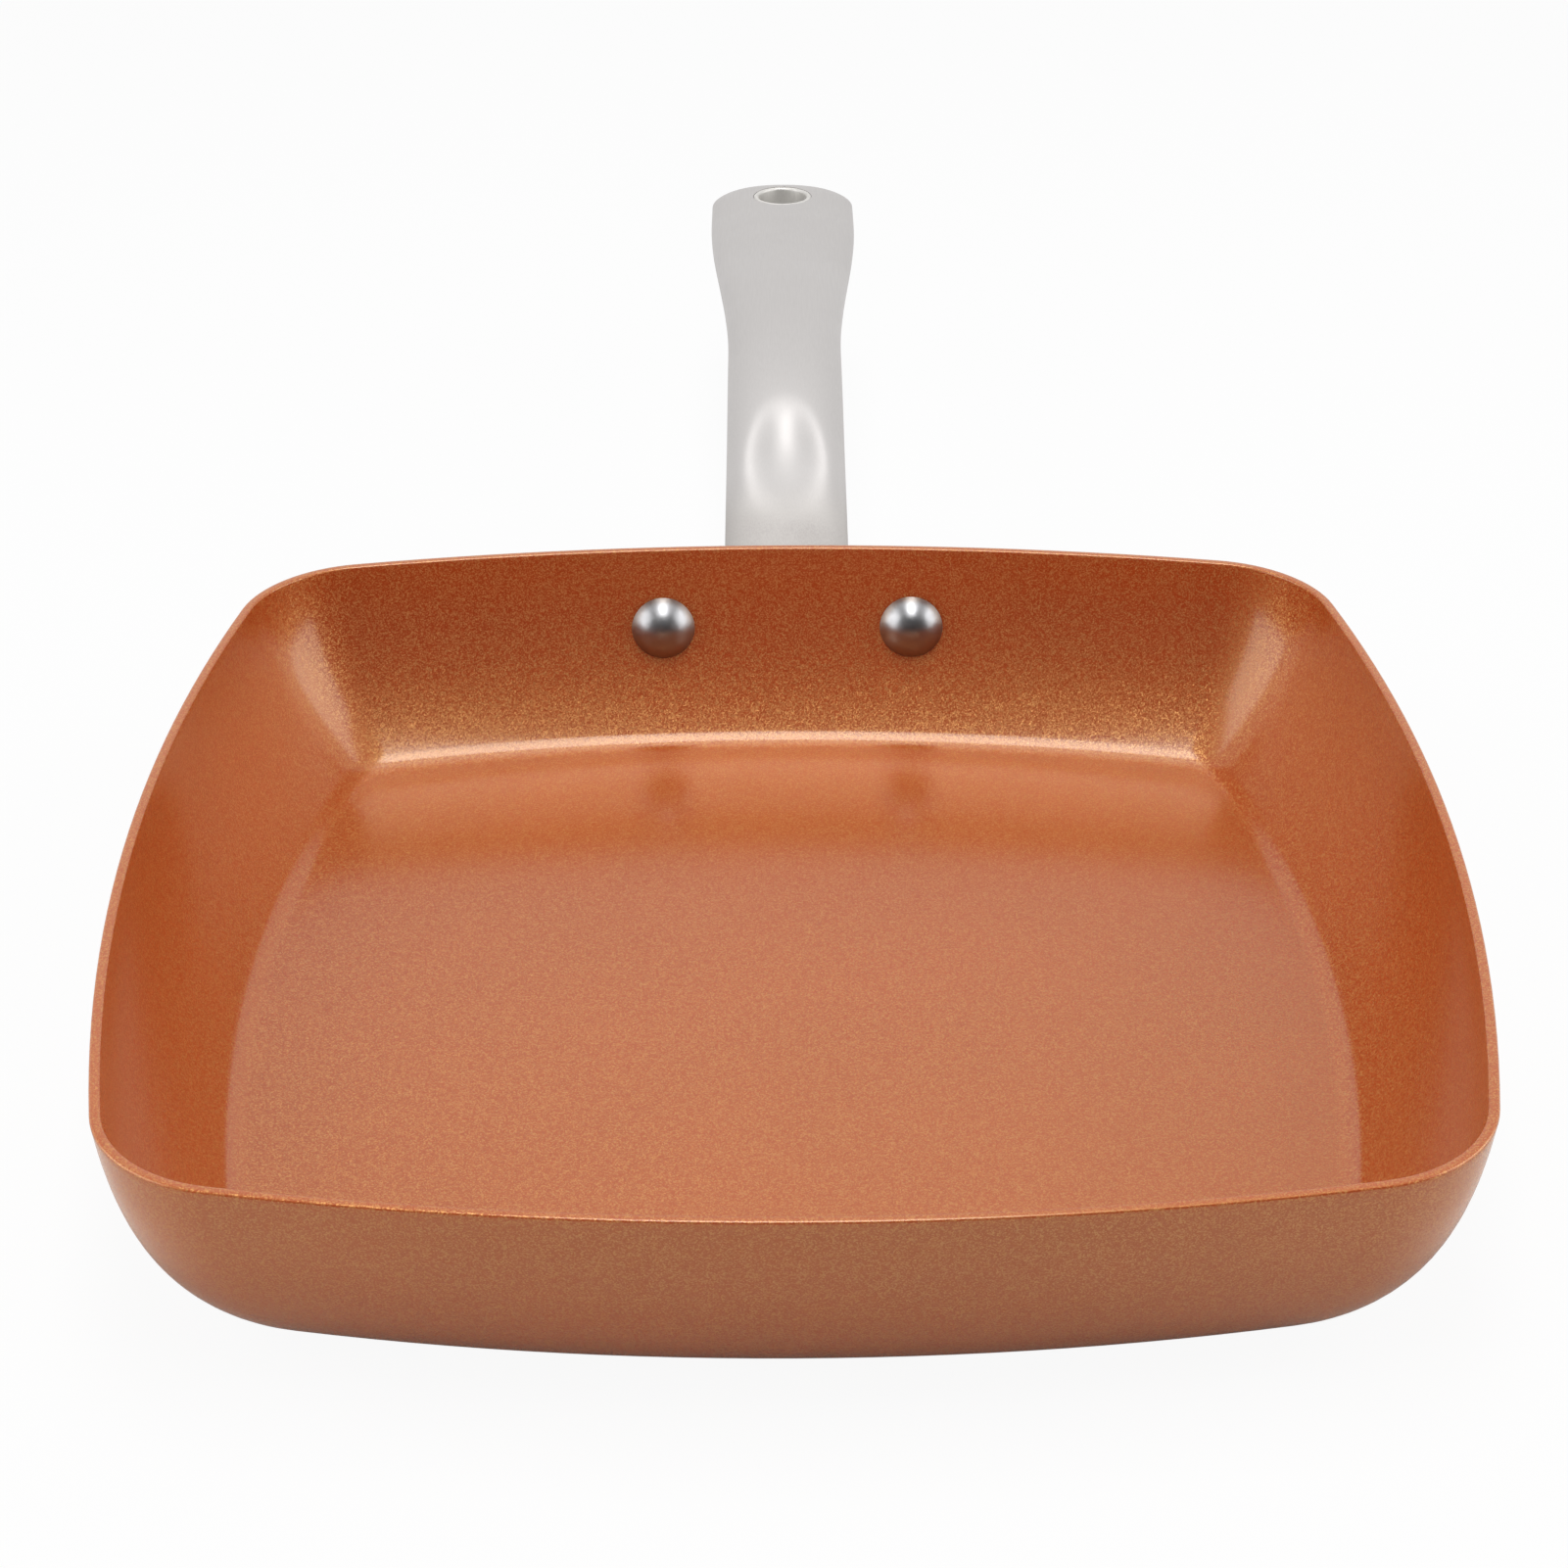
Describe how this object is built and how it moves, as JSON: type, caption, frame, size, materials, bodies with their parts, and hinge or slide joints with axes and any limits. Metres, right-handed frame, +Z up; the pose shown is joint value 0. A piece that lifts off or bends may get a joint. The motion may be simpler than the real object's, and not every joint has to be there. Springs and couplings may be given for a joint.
{
  "type": "square frying pan",
  "caption": "Square frying pan with bowed sides and round corners, copper-coloured coating and a hollow steel handle with a thumb dimple and hanging hole.",
  "frame": {"origin": "middle of the flat underside of the pan", "axes": "+Z up out of the pan, +Y along the handle away from the pan, +X to the right seen from the front"},
  "size_m": [0.2, 0.3714, 0.0459],
  "materials": {
    "copper_coating": "semi-gloss copper-coloured ceramic coating with fine golden flake over aluminium",
    "handle_steel": "satin stainless steel",
    "bracket_steel": "brushed stainless steel",
    "rivet_steel": "polished stainless steel"
  },
  "bodies": {
    "root": {"pan_body": "copper_coating", "handle_upper_shell": "handle_steel", "handle_lower_shell": "handle_steel", "hanging_eyelet": "handle_steel", "handle_bracket": "bracket_steel", "rivet_left": "rivet_steel", "rivet_right": "rivet_steel"}
  },
  "joints": []
}
